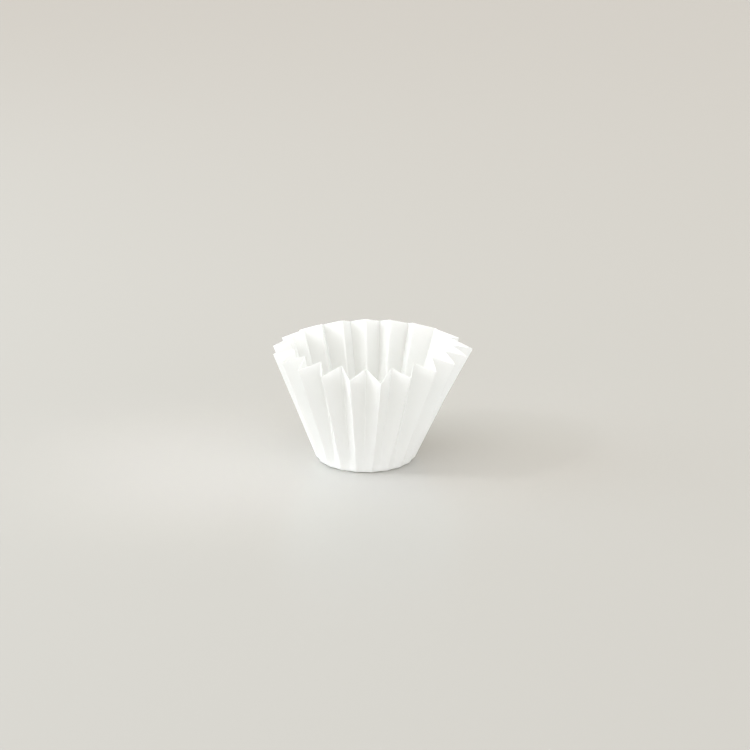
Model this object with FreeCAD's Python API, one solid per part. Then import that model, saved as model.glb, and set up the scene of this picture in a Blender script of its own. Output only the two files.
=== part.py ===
import FreeCAD, Part
import math
import os

# A flat-bottomed paper coffee filter, pressed from one round disc of paper: a flat base, a rounded
# corner and a wall of standing flutes that open towards the mouth. Millimetres, +Z up, origin at the
# middle of the base on the table, -Y towards the viewer.

doc = FreeCAD.newDocument("coffee_filter")

# Driving sizes of the folded paper. A ridge is a fold that points outwards, a valley is one that
# points inwards, and a panel is the strip of paper between the two.
driving_sizes = (
    ("paper_radius", 92.5, "radius of the flat disc that the filter is pressed from"),
    ("paper_thickness", 0.2, "one layer of filter paper"),
    ("base_radius", 27.2, "where the line of a ridge meets the table"),
    ("corner_radius", 3.2, "rounding between base and wall"),
    ("ridge_angle", 66.0, "steepness of a ridge, degrees from the table"),
    ("rim_slope", 22.0, "how steeply the cut edge climbs from ridge to valley, degrees"),
    ("shift_right", 2.6, "how far the mouth stands to the right of the base"),
    ("shift_back", 5.8, "how far the mouth stands behind the base"),
    ("flute_count", 20, "number of ridges"),
    ("fold_width", 1.4, "width of the rounded strip along a fold"),
    ("fold_allowance", 1.0, "paper that a panel gives to its rounded folds at the cut edge"),
    ("first_bearing", 7.4, "ridge nearest the viewer, degrees to the right"),
    ("slack_flute", 6, "flute that has opened wider than the rest, counted from the first"),
    ("slack_opening", 6.0, "how much wider it has opened, degrees"),
    ("slack_lean", 2.9, "how much further the ridge before that flute leans out, degrees"),
    ("front_lean", 1.9, "how much further the first ridge leans out, degrees"),
    ("bearing_wobble", 2.0, "unevenness of the ridges' spacing at the mouth, degrees"),
    ("bearing_waves", 1, "how often that unevenness comes back, going round"),
    ("bearing_phase", -120.0, "where it starts, degrees"),
    ("angle_wobble", 0.5, "unevenness of the ridges' steepness, degrees"),
    ("angle_waves", 3, "how often that unevenness comes back, going round"),
    ("angle_phase", -65.0, "where it starts, degrees"),
)
sheet = doc.addObject("Spreadsheet::Sheet", "sizes")
for row, (alias, value, meaning) in enumerate(driving_sizes, start=1):
    sheet.set(f"A{row}", meaning)
    sheet.set(f"B{row}", str(value))
    sheet.setAlias(f"B{row}", alias)
doc.recompute()
size = {alias: float(sheet.get(alias)) for alias, value, meaning in driving_sizes}

flutes = round(size["flute_count"])
pitch = 360.0 / flutes
paper_radius = size["paper_radius"]
corner_radius = size["corner_radius"]
thickness = size["paper_thickness"]
flat_radius = size["base_radius"] - corner_radius * math.tan(math.radians(size["ridge_angle"] / 2))
rim_climb = math.tan(math.radians(size["rim_slope"]))

# Where along the paper the sheet is measured: turns of the rounded corner, then shares of the wall.
corner_shares = (0.0, 0.3, 0.6, 1.0)
wall_shares = (0.06, 0.18, 0.4, 0.7, 1.0)
corner_paper = corner_radius * math.radians(size["ridge_angle"])
wall_paper = paper_radius - flat_radius - corner_paper
stations = [flat_radius + share * corner_paper for share in corner_shares]
stations += [flat_radius + corner_paper + share * wall_paper for share in wall_shares]

# The three lines of points that round a fold: before it, on it and after it.
fold_columns = (-1, 0, 1)


def opening(paper):
    """How far the flutes have opened at a distance along the paper: 0 at the base, 1 at the mouth."""
    return (paper - flat_radius) / (paper_radius - flat_radius)


def unevenness(name, k):
    """Slow unevenness of ridge k, in degrees; name is bearing or angle."""
    turned = size[f"{name}_waves"] * pitch * k + size[f"{name}_phase"]
    return size[f"{name}_wobble"] * math.sin(math.radians(turned))


def ridge_point(k, paper):
    """(bearing, radius, height) of ridge k at a distance along the paper from the disc's middle."""
    lean = {0: size["front_lean"], round(size["slack_flute"]) - 1: size["slack_lean"]}.get(k, 0.0)
    steepness = math.radians(size["ridge_angle"] + unevenness("angle", k) - lean)
    turned = min((paper - flat_radius) / corner_radius, steepness)
    straight = paper - flat_radius - corner_radius * turned
    radius = flat_radius + corner_radius * math.sin(turned) + straight * math.cos(steepness)
    height = corner_radius * (1 - math.cos(turned)) + straight * math.sin(steepness)
    at_base = size["first_bearing"] + pitch * k
    at_mouth = size["first_bearing"] + (pitch - size["slack_opening"] / flutes) * k
    at_mouth += unevenness("bearing", k)
    if k > size["slack_flute"]:
        at_mouth += size["slack_opening"]
    return at_base + (at_mouth - at_base) * opening(paper), radius, height


def valley_point(before, after, paper):
    """(bearing, radius, height) of the valley between two ridges, where a panel keeps its width.

    The two panels of a flute are as wide as in the flat disc, less what their rounded folds take,
    and the line of equal paper climbs from ridge to valley. Without slack there is no valley yet.
    """
    half_pitch = (after[0] - before[0]) / 2
    radius = (before[1] + after[1]) / 2
    height = (before[2] + after[2]) / 2
    width = math.radians(pitch / 2) * paper - size["fold_allowance"] * opening(paper)
    climb = 1 + rim_climb**2
    reach = radius * (math.cos(math.radians(half_pitch)) + rim_climb**2)
    slack = reach**2 - climb * (climb * radius**2 - width**2)
    if slack <= 0:
        return before[0] + half_pitch, radius, height
    inward = (reach - math.sqrt(slack)) / climb
    return before[0] + half_pitch, inward, height + rim_climb * (radius - inward)


def folds_at(paper):
    """Every fold in order round the filter: (bearing, radius, height, 1 ridge or -1 valley)."""
    ridges = [ridge_point(k, paper) for k in range(flutes)]
    found = []
    for k, ridge in enumerate(ridges):
        following = ridges[(k + 1) % flutes]
        if k + 1 == flutes:
            following = (following[0] + 360.0, following[1], following[2])
        valley = valley_point(ridge, following, paper)
        found += [(*ridge, 1), (*valley, -1)]
    return found


def placed(bearing, radius, height, paper):
    """Point of the paper's outside; bearing 0 faces the viewer and grows to the right."""
    angle = math.radians(bearing)
    flat = FreeCAD.Vector(radius * math.sin(angle), -radius * math.cos(angle), height)
    return flat + FreeCAD.Vector(size["shift_right"], size["shift_back"], 0) * opening(paper)


def base_ring():
    """Closed ring of points round the flat base, below the points that the folds start from."""
    aside = math.degrees(size["fold_width"] / 2 / flat_radius)
    return [
        placed(bearing + direction * aside, flat_radius, 0.0, flat_radius)
        for bearing, radius, height, side in folds_at(flat_radius)
        for direction in fold_columns
    ]


def wall_ring(paper):
    """Closed ring of points at one distance along the paper, three to a fold, which round it."""
    folds = folds_at(paper)
    half = size["fold_width"] / 2
    found = []
    for i, (bearing, radius, height, side) in enumerate(folds):
        aside = math.degrees(half / radius)
        for direction in fold_columns:
            beside = folds[(i + direction) % len(folds)]
            away = math.radians(abs((beside[0] - bearing + 180.0) % 360.0 - 180.0))
            inward = side * (radius - beside[1] * math.cos(away))
            turn = math.atan2(inward, beside[1] * math.sin(away)) - side * away / 2
            drop = side * half * math.tan(turn / 2) if direction else 0.0
            found.append(
                placed(bearing + direction * aside, radius - drop, height + rim_climb * drop, paper)
            )
    return found


def outward(ring, below, above, j, following):
    """Unit vector out of the panel between columns j and following."""
    sideways = ring[following] - ring[j]
    upward = above[j] + above[following] - below[j] - below[following]
    return sideways.cross(upward).normalize()


def inside_ring(i, rings):
    """The ring one paper thickness inside ring i, mitred at each column."""
    ring = rings[i]
    if i == 0:
        return [point + FreeCAD.Vector(0, 0, thickness) for point in ring]
    below, above = rings[i - 1], rings[min(i + 1, len(rings) - 1)]
    count = len(ring)
    moved = []
    for j, point in enumerate(ring):
        before = outward(ring, below, above, (j - 1) % count, j)
        after = outward(ring, below, above, j, (j + 1) % count)
        moved.append(point - (before + after) * (thickness / (1 + before.dot(after))))
    return moved


def flat_face(*corners):
    """Plane face with the given corners."""
    return Part.Face(Part.makePolygon([*corners, corners[0]]))


def layer(rings):
    """Flat triangles, two in each cell between neighbouring rings, mirrored either side of a ridge."""
    right_of_ridge = range(1, 1 + len(fold_columns))
    faces = []
    for lower, upper in zip(rings, rings[1:]):
        for j in range(len(lower)):
            a, b, c, d = lower[j - 1], lower[j], upper[j], upper[j - 1]
            if (j - 1) % (2 * len(fold_columns)) in right_of_ridge:
                faces += [flat_face(a, b, c), flat_face(a, c, d)]
            else:
                faces += [flat_face(a, b, d), flat_face(b, c, d)]
    return faces


def folded_paper():
    """The whole sheet as one solid: outside, inside, flat base and cut edge."""
    outside = [base_ring()] + [wall_ring(paper) for paper in stations[1:]]
    inside = [inside_ring(i, outside) for i in range(len(outside))]
    cut_edge = layer([outside[-1], inside[-1]])
    faces = layer(outside) + layer(inside) + cut_edge + [flat_face(*outside[0]), flat_face(*inside[0])]
    sheet_shell = Part.makeCompound(faces)
    sheet_shell.sewShape()
    if len(sheet_shell.Shells) != 1:
        raise RuntimeError("the faces of the folded paper do not close")
    solid = Part.Solid(sheet_shell.Shells[0])
    if solid.Volume < 0:
        solid.reverse()
    return solid


filter_paper = doc.addObject("Part::Feature", "filter_paper")
filter_paper.Label = "filter_paper"
filter_paper.Shape = folded_paper()
filter_paper.Placement = FreeCAD.Placement()
doc.recompute()

for item in doc.Objects:
    if "Invalid" in item.State or "Error" in item.State:
        raise RuntimeError(f"{item.Label} failed: {item.State}")
shape = filter_paper.Shape
if shape.isNull() or not shape.isValid() or len(shape.Solids) != 1:
    raise RuntimeError("the folded paper is not one valid solid")

os.makedirs("parts", exist_ok=True)
shape.exportStep(f"parts/{filter_paper.Label}.step")
folded_area = shape.Volume / thickness
disc_area = math.pi * paper_radius**2
print(f"filter_paper: {shape.Volume:.0f} mm3, {folded_area:.0f} mm2 of a {disc_area:.0f} mm2 disc")
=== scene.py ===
import math

import bpy
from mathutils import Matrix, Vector, noise


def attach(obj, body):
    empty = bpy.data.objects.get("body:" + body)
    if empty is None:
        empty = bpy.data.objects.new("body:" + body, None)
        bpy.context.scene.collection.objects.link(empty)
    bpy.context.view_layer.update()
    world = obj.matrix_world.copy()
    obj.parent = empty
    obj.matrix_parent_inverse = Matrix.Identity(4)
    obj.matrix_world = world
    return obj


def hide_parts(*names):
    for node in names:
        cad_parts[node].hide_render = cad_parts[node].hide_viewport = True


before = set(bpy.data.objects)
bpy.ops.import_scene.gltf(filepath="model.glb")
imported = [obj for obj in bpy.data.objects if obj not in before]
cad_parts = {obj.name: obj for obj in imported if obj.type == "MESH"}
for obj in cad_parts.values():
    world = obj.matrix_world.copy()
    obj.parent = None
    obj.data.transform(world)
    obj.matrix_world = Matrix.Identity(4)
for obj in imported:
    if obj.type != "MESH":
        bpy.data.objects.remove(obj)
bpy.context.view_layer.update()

# A paper coffee filter on a pale table: one folded sheet that stands on its flat base.
# Metres, +Z up, -Y towards the viewer. Angles are in degrees.


class Wire:
    # A shader socket that can be added, multiplied and handed on.
    def __init__(self, tree, socket=None):
        self.tree = tree
        self.socket = socket

    def node(self, kind, settings=None, sockets=None, output=0):
        made = self.tree.nodes.new(kind)
        for name, value in (settings or {}).items():
            setattr(made, name, value)
        for name, value in (sockets or {}).items():
            if isinstance(value, Wire):
                self.tree.links.new(value.socket, made.inputs[name])
            else:
                made.inputs[name].default_value = value
        return Wire(self.tree, made.outputs[output] if made.outputs else None)

    def maths(self, operation, first, second):
        return self.node("ShaderNodeMath", {"operation": operation}, {0: first, 1: second})

    def __add__(self, other):
        return self.maths("ADD", self, other)

    def __radd__(self, other):
        return self.maths("ADD", other, self)

    def __mul__(self, other):
        return self.maths("MULTIPLY", self, other)

    def __rmul__(self, other):
        return self.maths("MULTIPLY", other, self)


def newMaterial(name):
    material = bpy.data.materials.new(name)
    material.use_nodes = True
    material.node_tree.nodes.clear()
    return material, Wire(material.node_tree)


def addPiece(name, mesh, material):
    piece = bpy.data.objects.new(name, mesh)
    bpy.context.scene.collection.objects.link(piece)
    mesh.materials.append(material)
    for face in mesh.polygons:
        face.use_smooth = True
    return piece


# The folded sheet. A ridge points outwards, a valley inwards, and a panel lies between the two.
sheet = {
    "discRadius": 0.0925,       # the flat disc it is pressed from
    "thickness": 0.0002,
    "baseRadius": 0.0272,       # where the line of a ridge meets the table
    "cornerRadius": 0.0032,
    "ridgeAngle": 66.0,
    "rimSlope": 22.0,           # how steeply the cut edge climbs from ridge to valley
    "rimShift": (0.0026, 0.0058, 0),    # where the mouth stands over the base
    "flutes": 20,
    "foldAllowance": 0.0010,    # paper that a panel gives to its folds at the cut edge
    "firstBearing": 7.4,        # ridge nearest the viewer, degrees to the right
    "slackFlute": 6,            # flute that has opened wider than the rest
    "slackOpening": 6.0,
    "leans": {0: 1.9, 5: 2.9},  # ridges that lean out further than the rest
    "bearingWobble": (2.0, 1, -120),    # size, waves round the rim and phase
    "angleWobble": (0.5, 3, -65),
    "ridgeRounding": 0.0006,    # how far a fold's rounding reaches along its panels
    "valleyRounding": 0.0009,
    "roundingLimit": 0.3,       # most of a panel's width that a fold may round
    "panelBow": 0.00035,        # how far a panel bulges at the cut edge
    "usualBow": 0.4,            # share of that which every panel has
    "bowSeed": (0.73, 2.1, 5.3),    # step from panel to panel, and where the unevenness is read
    "baseDome": 0.0003,         # rise of the base at its middle
    "crinkle": 0.00010,         # slow unevenness of the whole sheet
    "slowCrinkles": 45,         # per metre
    "quickCrinkles": 160,
    "quickShare": 0.35,
    "crinkleHeight": 0.012,     # height above the table where the crinkles are at their full size
    "crinkleSeed": 4,           # the crinkles come out the same in every run
    "foldSteps": 6,
    "panelSteps": 5,
    "baseRows": 7,
    "cornerRows": 12,
    "wallRows": 40,
    "cornerCrowding": 1.3,      # rows lie closer together where the corner and the wall start
    "wallCrowding": 1.25,
}
noise.seed_set(sheet["crinkleSeed"])
pitch = 360 / sheet["flutes"]
ridgeTurn = math.radians(sheet["ridgeAngle"])
flatRadius = sheet["baseRadius"] - sheet["cornerRadius"] * math.tan(ridgeTurn / 2)
cornerPaper = sheet["cornerRadius"] * ridgeTurn
rimClimb = math.tan(math.radians(sheet["rimSlope"]))


def openingAt(paper):
    # 0 where the flutes start at the base, 1 at the mouth
    return (paper - flatRadius) / (sheet["discRadius"] - flatRadius)


def slowWave(wobble, k):
    amplitude, waves, phase = wobble
    return amplitude * math.sin(math.radians(waves * pitch * k + phase))


def ridgeAt(k, paper):
    # bearing, radius and height of ridge k at a distance along the paper from the disc's middle
    steepness = sheet["ridgeAngle"] + slowWave(sheet["angleWobble"], k) - sheet["leans"].get(k, 0)
    steepness = math.radians(steepness)
    turned = min((paper - flatRadius) / sheet["cornerRadius"], steepness)
    straight = paper - flatRadius - sheet["cornerRadius"] * turned
    radius = flatRadius + sheet["cornerRadius"] * math.sin(turned) + straight * math.cos(steepness)
    height = sheet["cornerRadius"] * (1 - math.cos(turned)) + straight * math.sin(steepness)
    atBase = sheet["firstBearing"] + pitch * k
    atMouth = sheet["firstBearing"] + (pitch - sheet["slackOpening"] / sheet["flutes"]) * k
    atMouth += slowWave(sheet["bearingWobble"], k)
    if k > sheet["slackFlute"]:
        atMouth += sheet["slackOpening"]
    return atBase + (atMouth - atBase) * openingAt(paper), radius, height


def valleyAt(before, after, paper):
    # the valley between two ridges lies where both panels keep the width they have in the flat disc
    halfPitch = (after[0] - before[0]) / 2
    radius = (before[1] + after[1]) / 2
    height = (before[2] + after[2]) / 2
    width = math.radians(pitch / 2) * paper - sheet["foldAllowance"] * openingAt(paper)
    climb = 1 + rimClimb**2
    reach = radius * (math.cos(math.radians(halfPitch)) + rimClimb**2)
    slack = reach**2 - climb * (climb * radius**2 - width**2)
    if slack <= 0:
        return before[0] + halfPitch, radius, height
    inward = (reach - math.sqrt(slack)) / climb
    return before[0] + halfPitch, inward, height + rimClimb * (radius - inward)


def placed(fold, paper):
    bearing, radius, height = fold
    angle = math.radians(bearing)
    flat = Vector((radius * math.sin(angle), -radius * math.cos(angle), height))
    return flat + Vector(sheet["rimShift"]) * openingAt(paper)


def foldsAt(paper):
    ridges = [ridgeAt(k, paper) for k in range(sheet["flutes"])]
    ridges.append((ridges[0][0] + 360, ridges[0][1], ridges[0][2]))
    found = []
    for ridge, following in zip(ridges, ridges[1:]):
        found += [placed(ridge, paper), placed(valleyAt(ridge, following, paper), paper)]
    return found


def ringAt(paper):
    # closed row of points through every fold and panel, with the folds rounded
    folds = foldsAt(paper)
    opening = openingAt(paper)
    limit = sheet["roundingLimit"]
    seedStep, seedY, seedZ = sheet["bowSeed"]
    ring = []
    for i, fold in enumerate(folds):
        before = folds[i - 1]
        after = folds[(i + 1) % len(folds)]
        rounding = sheet["valleyRounding"] if i % 2 else sheet["ridgeRounding"]
        rounding = min(rounding, limit * (after - fold).length, limit * (before - fold).length)
        start = fold + (before - fold).normalized() * rounding
        end = fold + (after - fold).normalized() * rounding
        for step in range(sheet["foldSteps"]):
            t = step / (sheet["foldSteps"] - 1)
            ring.append(start * (1 - t) ** 2 + fold * 2 * t * (1 - t) + end * t**2)
        nextRounding = sheet["ridgeRounding"] if i % 2 else sheet["valleyRounding"]
        nextRounding = min(nextRounding, limit * (after - fold).length)
        panelEnd = after + (fold - after).normalized() * nextRounding
        outwards = Vector((end.x + panelEnd.x, end.y + panelEnd.y, 0)).normalized()
        uneven = noise.noise(Vector((i * seedStep, seedY, seedZ)))
        bow = sheet["panelBow"] * opening * (sheet["usualBow"] + uneven)
        for step in range(1, sheet["panelSteps"] + 1):
            t = step / (sheet["panelSteps"] + 1)
            ring.append(end.lerp(panelEnd, t) + outwards * bow * math.sin(math.pi * t))
    return ring


def baseRing(paper):
    # row of points on the flat base, under the columns of the wall
    rise = sheet["baseDome"] * (1 - (paper / flatRadius) ** 2)
    ring = []
    for point in ringAt(flatRadius):
        direction = Vector((point.x, point.y, 0)).normalized()
        ring.append(direction * paper + Vector((0, 0, rise)))
    return ring


def crinkled(point):
    # a sheet of paper is never quite true, though the base stays on the table
    free = min(point.z / sheet["crinkleHeight"], 1)
    slow = noise.noise_vector(point * sheet["slowCrinkles"])
    quick = noise.noise_vector(point * sheet["quickCrinkles"]) * sheet["quickShare"]
    return point + (slow + quick) * sheet["crinkle"] * free


def sheetRows():
    count = sheet["baseRows"]
    rows = [baseRing(flatRadius * (i + 1) / (count + 1)) for i in range(count)]
    for i in range(sheet["cornerRows"]):
        share = (i / sheet["cornerRows"]) ** sheet["cornerCrowding"]
        rows.append(ringAt(flatRadius + cornerPaper * share))
    wallStart = flatRadius + cornerPaper
    for i in range(sheet["wallRows"] + 1):
        share = (i / sheet["wallRows"]) ** sheet["wallCrowding"]
        rows.append(ringAt(wallStart + (sheet["discRadius"] - wallStart) * share))
    return [[crinkled(point) for point in row] for row in rows]


def insideOf(rows):
    # the inner face of the paper, one thickness in from the outer
    inner = []
    for r, row in enumerate(rows):
        below = rows[max(r - 1, 0)]
        above = rows[min(r + 1, len(rows) - 1)]
        moved = []
        for c, point in enumerate(row):
            sideways = row[(c + 1) % len(row)] - row[c - 1]
            upwards = above[c] - below[c]
            moved.append(point - sideways.cross(upwards).normalized() * sheet["thickness"])
        inner.append(moved)
    return inner


def paperMesh():
    outer = sheetRows()
    inner = insideOf(outer)
    count = len(outer[0])
    middle = Vector((0, 0, sheet["baseDome"]))
    points = [point for row in outer + inner for point in row]
    points += [middle, middle + Vector((0, 0, sheet["thickness"]))]
    faces = []
    innerStart = len(outer) * count
    for c in range(count):
        n = (c + 1) % count
        faces.append((len(points) - 2, n, c))
        faces.append((len(points) - 1, innerStart + c, innerStart + n))
        for r in range(len(outer) - 1):
            low, high = r * count, (r + 1) * count
            faces.append((low + c, low + n, high + n, high + c))
            low, high = innerStart + low, innerStart + high
            faces.append((low + n, low + c, high + c, high + n))
        top, innerTop = innerStart - count, 2 * innerStart - count
        faces.append((top + c, top + n, innerTop + n, innerTop + c))
    mesh = bpy.data.meshes.new("filterPaper")
    mesh.from_pydata(points, [], faces)
    mesh.update()
    outerRim = set(range(innerStart - count, innerStart))
    innerRim = set(range(2 * innerStart - count, 2 * innerStart))
    cutEdge = outerRim | innerRim
    for edge in mesh.edges:
        edge.use_edge_sharp = edge.vertices[0] in cutEdge and edge.vertices[1] in cutEdge
    return mesh


# Bleached filter paper: soft, matt and thin enough for light to come through.
paperFinish = {
    "white": (0.915, 0.92, 0.905, 1),
    "thinWhite": (0.935, 0.945, 0.93, 1),
    "glow": (0.945, 0.955, 0.94, 1),    # colour of the light that comes through
    "seeThrough": 0.42,
    "roughness": 0.82,
    "sheen": 0.25,
    "clouds": 260.0,                    # patches of thicker and thinner fibre, per metre
    "fibres": 1500.0,
    "fibreCurl": 2.5,
    "grain": 5200.0,
    "relief": 0.00004,
    "cloudRelief": 0.6,                 # shares of the relief
    "fibreRelief": 0.65,
    "grainRelief": 0.25,
}


def paperMaterial():
    material, tree = newMaterial("filterPaper")
    place = tree.node("ShaderNodeTexCoord", output=3)
    clouds = tree.node(
        "ShaderNodeTexNoise",
        sockets={"Vector": place, "Scale": paperFinish["clouds"], "Detail": 4.0, "Roughness": 0.6},
    )
    fibres = tree.node(
        "ShaderNodeTexNoise",
        sockets={
            "Vector": place,
            "Scale": paperFinish["fibres"],
            "Detail": 2.0,
            "Distortion": paperFinish["fibreCurl"],
        },
    )
    grain = tree.node("ShaderNodeTexNoise", sockets={"Vector": place, "Scale": paperFinish["grain"]})
    colour = tree.node(
        "ShaderNodeMix",
        {"data_type": "RGBA"},
        {0: clouds, 6: paperFinish["white"], 7: paperFinish["thinWhite"]},
        output=2,
    )
    height = fibres * paperFinish["fibreRelief"] + grain * paperFinish["grainRelief"]
    height = height + clouds * paperFinish["cloudRelief"]
    bump = tree.node(
        "ShaderNodeBump", sockets={"Height": height, "Distance": paperFinish["relief"], "Strength": 1.0}
    )
    surface = tree.node(
        "ShaderNodeBsdfPrincipled",
        sockets={
            "Base Color": colour,
            "Roughness": paperFinish["roughness"],
            "Specular IOR Level": paperFinish["sheen"],
            "Normal": bump,
        },
    )
    through = tree.node(
        "ShaderNodeBsdfTranslucent", sockets={"Color": paperFinish["glow"], "Normal": bump}
    )
    both = tree.node(
        "ShaderNodeMixShader", sockets={0: paperFinish["seeThrough"], 1: surface, 2: through}
    )
    tree.node("ShaderNodeOutputMaterial", sockets={"Surface": both})
    return material


filterPaper = addPiece("filterPaper", paperMesh(), paperMaterial())
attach(filterPaper, "root")
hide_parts("filter_paper")
print(f"folded paper: {len(filterPaper.data.polygons)} faces")


# Pale satin table that runs out of the picture on every side.
table = {
    "size": 12.0,
    "colour": (0.475, 0.475, 0.45, 1),
    "roughness": 0.27,
    "gloss": 1.8,           # index of refraction of its satin coat
    "drop": 0.00002,        # hair's breadth between the table and the paper's base
}


def tableMaterial():
    material, tree = newMaterial("tableTop")
    surface = tree.node(
        "ShaderNodeBsdfPrincipled",
        sockets={
            "Base Color": table["colour"],
            "Roughness": table["roughness"],
            "IOR": table["gloss"],
        },
    )
    tree.node("ShaderNodeOutputMaterial", sockets={"Surface": surface})
    return material


def tableTop():
    half = table["size"] / 2
    corners = [(-half, -half, 0), (half, -half, 0), (half, half, 0), (-half, half, 0)]
    mesh = bpy.data.meshes.new("tableTop")
    mesh.from_pydata(corners, [], [(0, 1, 2, 3)])
    top = addPiece("tableTop", mesh, tableMaterial())
    top.location.z = -table["drop"]


tableTop()
print("table made")


# Soft daylight from a window on the left, a pale ceiling, and a small pool of sunlight that comes
# through low on the left and falls on the table beside the filter.
light = {
    "front": (2.01, 1.96, 2.01, 1),     # the bright side of the room, behind the viewer
    "frontAbove": (1.38, 1.34, 1.38, 1),
    "back": (0.80, 0.745, 0.665, 1),
    "upwards": (0.0, 0.7),              # where the front fades into what is above it
    "backwards": (-0.5, 0.6),           # where the front fades into the back
    "window": {
        "place": (-1.25, 0.15, 0.72),
        "aim": (0, 0, 0.03),
        "size": (1.1, 0.7),
        "spread": 180,
        "power": 7.6,
        "colour": (0.82, 0.98, 1.14),
    },
    "sunPool": {
        "place": (-0.5, -0.12, 0.42),
        "aim": (-0.034, -0.004, 0),
        "size": (0.15, 0.15),
        "spread": 16,
        "power": 0.029,
        "colour": (1.0, 1.0, 1.0),
    },
    "ceiling": {
        "place": (-0.3, -0.2, 2.2),
        "aim": (0, 0, 0.03),
        "size": (2.5, 2.5),
        "spread": 180,
        "power": 9.8,
        "colour": (0.98, 1.0, 0.82),
    },
}


def areaLight(name):
    lamp = bpy.data.lights.new(name, "AREA")
    lamp.shape = "RECTANGLE"
    lamp.size, lamp.size_y = light[name]["size"]
    lamp.spread = math.radians(light[name]["spread"])
    lamp.energy = light[name]["power"]
    lamp.color = light[name]["colour"]
    lampObject = bpy.data.objects.new(name, lamp)
    bpy.context.scene.collection.objects.link(lampObject)
    lampObject.location = light[name]["place"]
    aim = Vector(light[name]["aim"]) - lampObject.location
    lampObject.rotation_euler = aim.to_track_quat("-Z", "Y").to_euler()


def room():
    world = bpy.data.worlds.new("room")
    world.use_nodes = True
    world.node_tree.nodes.clear()
    tree = Wire(world.node_tree)
    direction = tree.node("ShaderNodeTexCoord")

    def share(axis, fade):
        start, end = fade
        along = tree.node("ShaderNodeSeparateXYZ", sockets={0: direction}, output=axis)
        return tree.node(
            "ShaderNodeMapRange",
            {"interpolation_type": "SMOOTHSTEP"},
            {"Value": along, "From Min": start, "From Max": end},
        )

    def blend(factor, first, second):
        return tree.node(
            "ShaderNodeMix", {"data_type": "RGBA"}, {0: factor, 6: first, 7: second}, output=2
        )

    front = blend(share(2, light["upwards"]), light["front"], light["frontAbove"])
    colour = blend(share(1, light["backwards"]), front, light["back"])
    background = tree.node("ShaderNodeBackground", sockets={"Color": colour})
    tree.node("ShaderNodeOutputWorld", sockets={"Surface": background})
    bpy.context.scene.world = world


room()
for name in ("window", "sunPool", "ceiling"):
    areaLight(name)
print("lights made")


# A long lens from just above the rim.
view = {
    "distance": 1.038,
    "height": 0.394,
    "down": 18.47,
    "right": 0.29,
    "lens": 96.0,
    "sensor": 36.0,
}


def addCamera():
    camera = bpy.data.cameras.new("camera")
    camera.lens = view["lens"]
    camera.sensor_width = view["sensor"]
    cameraObject = bpy.data.objects.new("camera", camera)
    bpy.context.scene.collection.objects.link(cameraObject)
    cameraObject.location = (0, -view["distance"], view["height"])
    down, right = math.radians(view["down"]), math.radians(view["right"])
    cameraObject.rotation_euler = (math.radians(90) - down, 0, -right)
    bpy.context.scene.camera = cameraObject


addCamera()
bpy.context.scene.view_settings.view_transform = "Standard"
print("camera made")
